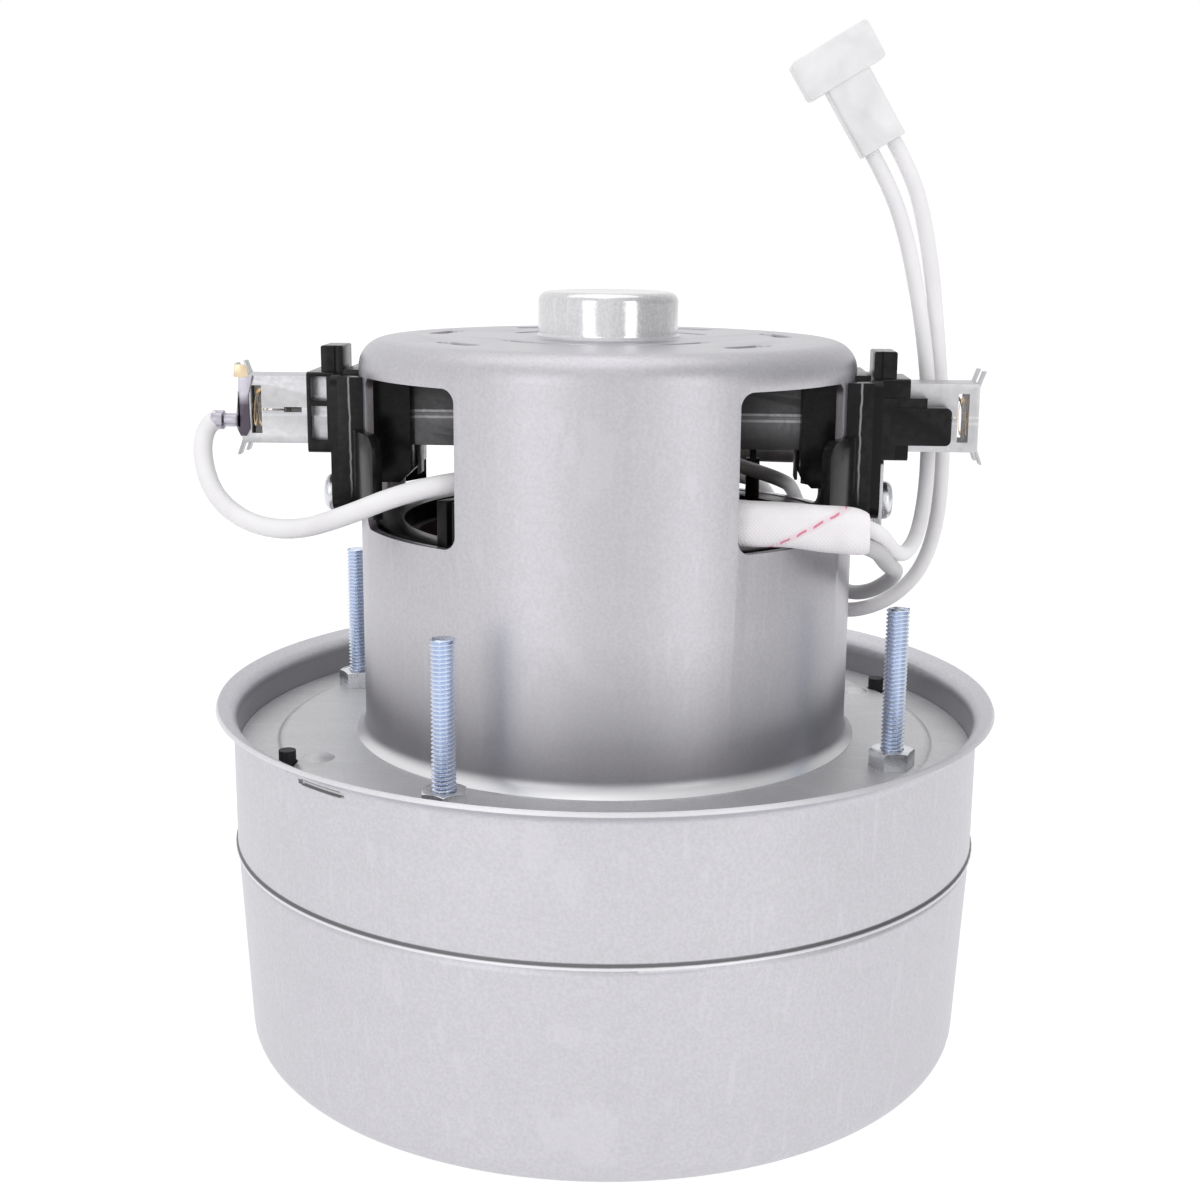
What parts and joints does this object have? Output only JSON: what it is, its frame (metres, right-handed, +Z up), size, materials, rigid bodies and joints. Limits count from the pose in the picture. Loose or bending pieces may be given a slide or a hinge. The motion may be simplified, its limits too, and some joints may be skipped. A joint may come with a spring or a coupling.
{
  "type": "vacuum motor unit",
  "caption": "Suction motor unit: a round two-stage fan housing with an inlet in its floor, a windowed motor can with side brush gear, mounting studs, and white leads to a plug.",
  "frame": {"origin": "centre of the fan cover's floor, on the shaft's axis", "axes": "+Z up along the shaft towards the bearing boss, X through the brush tubes, -Y the front of the picture"},
  "size_m": [0.1463, 0.1428, 0.1847],
  "materials": {
    "steel_sheet": "satin plated sheet",
    "zinc_fasteners": "bluish zinc plating",
    "black_plastic": "glossy moulding",
    "guide_plastic": "matt moulding",
    "tube_steel": "bright plated sheet",
    "spring_brass": "drawn wire",
    "terminal_brass": "pressed sheet",
    "lead_white": "smooth insulation",
    "lead_grey": "smooth insulation",
    "woven_sleeve": "woven glass sleeve",
    "plug_plastic": "moulded",
    "laminations": "stacked sheets",
    "winding_copper": "enamelled wire",
    "commutator_copper": "turned",
    "commutator_moulding": "moulding compound",
    "carbon": "pressed carbon",
    "fan_aluminium": "rolled sheet",
    "bearing_steel": "ground",
    "shaft_steel": "ground"
  },
  "bodies": {
    "housing": {"fan_cover": "steel_sheet", "housing_band": "steel_sheet", "motor_bracket": "steel_sheet", "motor_can": "steel_sheet", "mounting_studs": "zinc_fasteners", "stud_nuts": "zinc_fasteners", "right_brush_holder": "black_plastic", "left_brush_holder": "black_plastic", "right_brush_tube": "tube_steel", "left_brush_tube": "tube_steel", "right_brush_spring": "spring_brass", "left_brush_spring": "spring_brass", "right_clamp_strip": "tube_steel", "left_clamp_strip": "tube_steel", "clamp_screws": "zinc_fasteners", "stator_core": "laminations", "front_field_coil": "winding_copper", "rear_field_coil": "winding_copper", "upper_end_frame": "black_plastic", "lower_end_frame": "black_plastic", "top_bearing_outer_ring": "bearing_steel", "bottom_bearing_outer_ring": "bearing_steel", "bearing_wave_washer": "shaft_steel", "stage_divider": "fan_aluminium", "diffuser": "guide_plastic", "protector_sleeve": "woven_sleeve", "thermal_protector": "black_plastic", "brush_terminal": "terminal_brass", "jumper_lead": "lead_white", "inner_jumper": "lead_grey", "protector_lead": "lead_white", "supply_lead_outer": "lead_white", "supply_lead_inner": "lead_white", "plug_housing": "plug_plastic", "plug_contacts": "terminal_brass"},
    "rotor": {"shaft": "shaft_steel", "armature_core": "laminations", "armature_winding": "winding_copper", "commutator_bars": "commutator_copper", "commutator_hub": "commutator_moulding", "first_impeller": "fan_aluminium", "second_impeller": "fan_aluminium", "impeller_washers": "shaft_steel", "impeller_spacers": "shaft_steel", "shaft_nut": "zinc_fasteners", "top_bearing_inner_ring": "bearing_steel", "bottom_bearing_inner_ring": "bearing_steel"},
    "top_ball_cage": {"top_ball_cage": "bearing_steel"},
    "bottom_ball_cage": {"bottom_ball_cage": "bearing_steel"},
    "right_brush": {"right_brush": "carbon"},
    "left_brush": {"left_brush": "carbon"}
  },
  "joints": [
    {"name": "rotor_spin", "type": "hinge", "parent": "housing", "child": "rotor", "pos_m": [0, 0, 0.08], "axis": [0, 0, 1], "continuous": true},
    {"name": "top_cage_spin", "type": "hinge", "parent": "housing", "child": "top_ball_cage", "pos_m": [0, 0, 0.1321], "axis": [0, 0, 1], "continuous": true},
    {"name": "bottom_cage_spin", "type": "hinge", "parent": "housing", "child": "bottom_ball_cage", "pos_m": [0, 0, 0.0533], "axis": [0, 0, 1], "continuous": true},
    {"name": "right_brush_slide", "type": "slide", "parent": "housing", "child": "right_brush", "axis": [1, 0, 0], "range_m": [0, 0.012], "stiffness_N_per_m": 90, "springref_m": -0.03, "deforming": ["right_brush_spring"]},
    {"name": "left_brush_slide", "type": "slide", "parent": "housing", "child": "left_brush", "axis": [-1, 0, 0], "range_m": [0, 0.012], "stiffness_N_per_m": 90, "springref_m": -0.03, "deforming": ["left_brush_spring"]}
  ],
  "couplings": [
    {"joint": "top_cage_spin", "follows": "rotor_spin", "ratio": 0.3717},
    {"joint": "bottom_cage_spin", "follows": "rotor_spin", "ratio": 0.3717}
  ]
}
